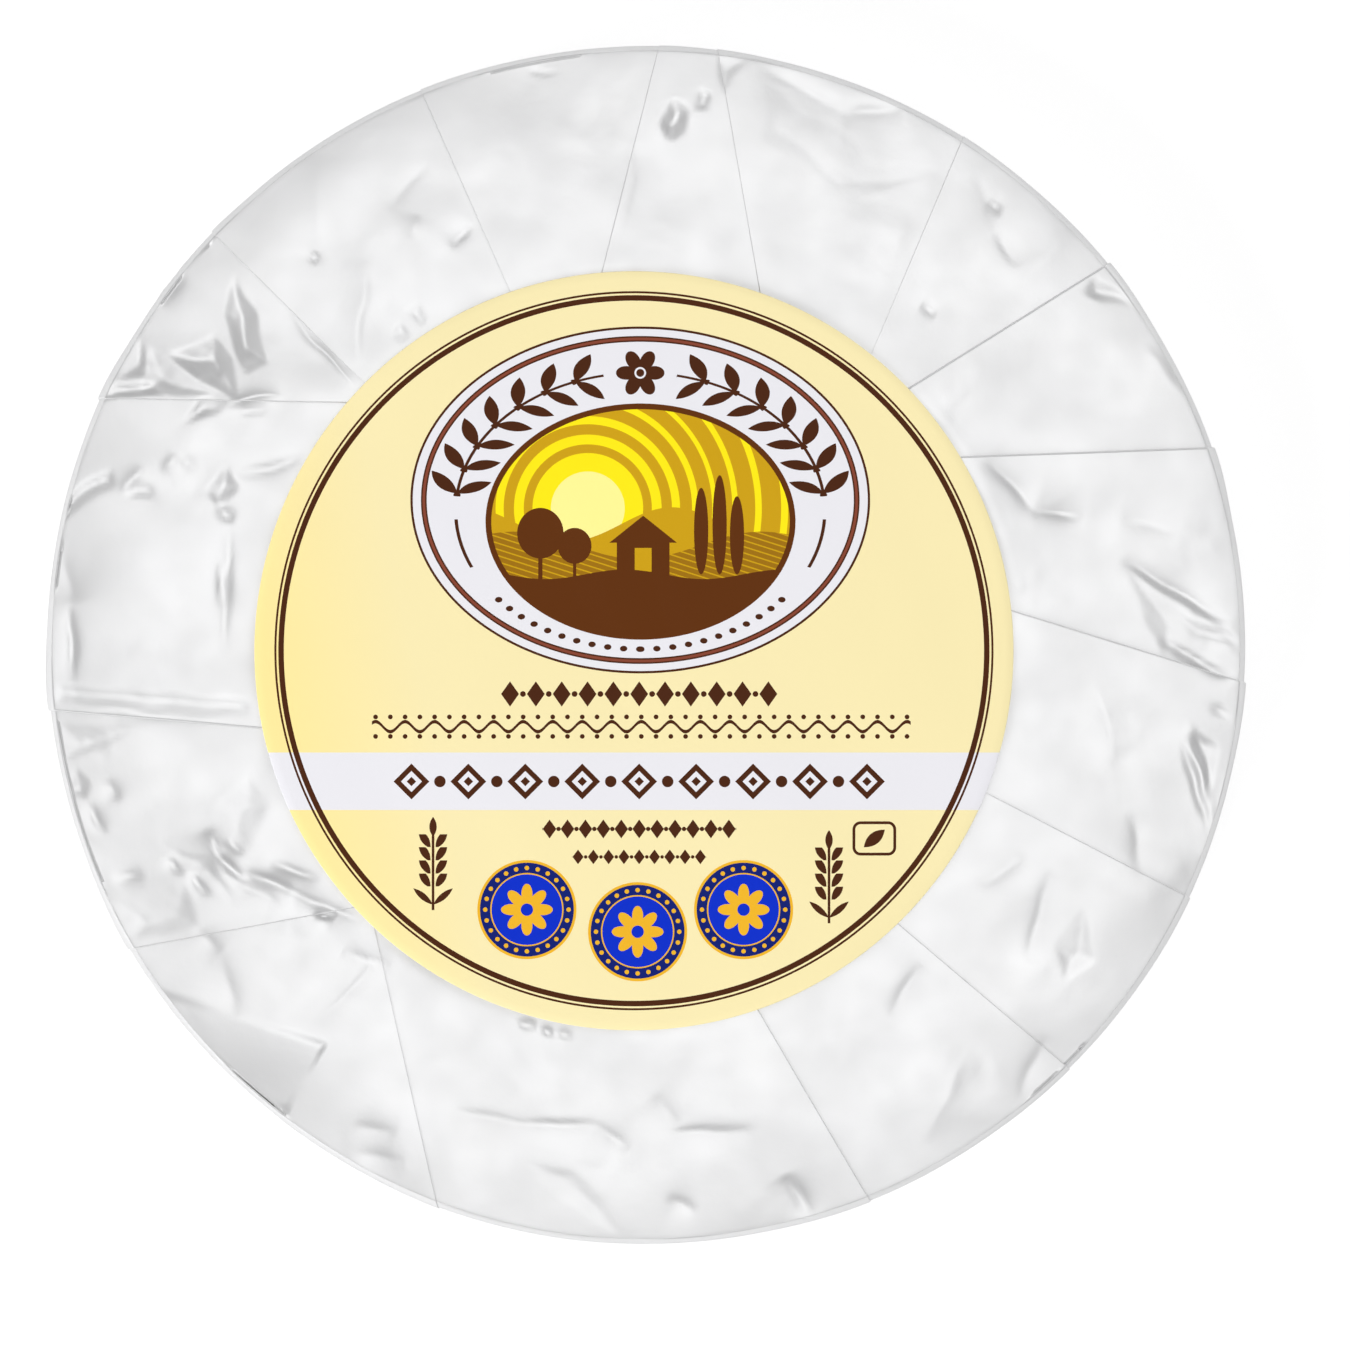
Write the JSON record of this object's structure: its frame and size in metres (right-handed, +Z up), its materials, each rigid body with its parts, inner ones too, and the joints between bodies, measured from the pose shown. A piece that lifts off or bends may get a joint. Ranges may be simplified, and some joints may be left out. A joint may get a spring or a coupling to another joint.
{
  "type": "wrapped camembert cheese wheel",
  "caption": "Large flat soft cheese wheel in white foil paper pleated over the top, with a round printed paper label stuck over the meeting pleats",
  "frame": {"origin": "centre of the flat under side, on the wheel's axis", "axes": "+Z up along the wheel's axis, out of the labelled face; +Y towards the top of the label's print; +X to the reader's right"},
  "size_m": [0.23, 0.23, 0.0267],
  "materials": {
    "wrap": "satin",
    "label_paper": "satin"
  },
  "bodies": {
    "root": {"wrapped_wheel": "wrap", "label": "label_paper"}
  },
  "joints": []
}
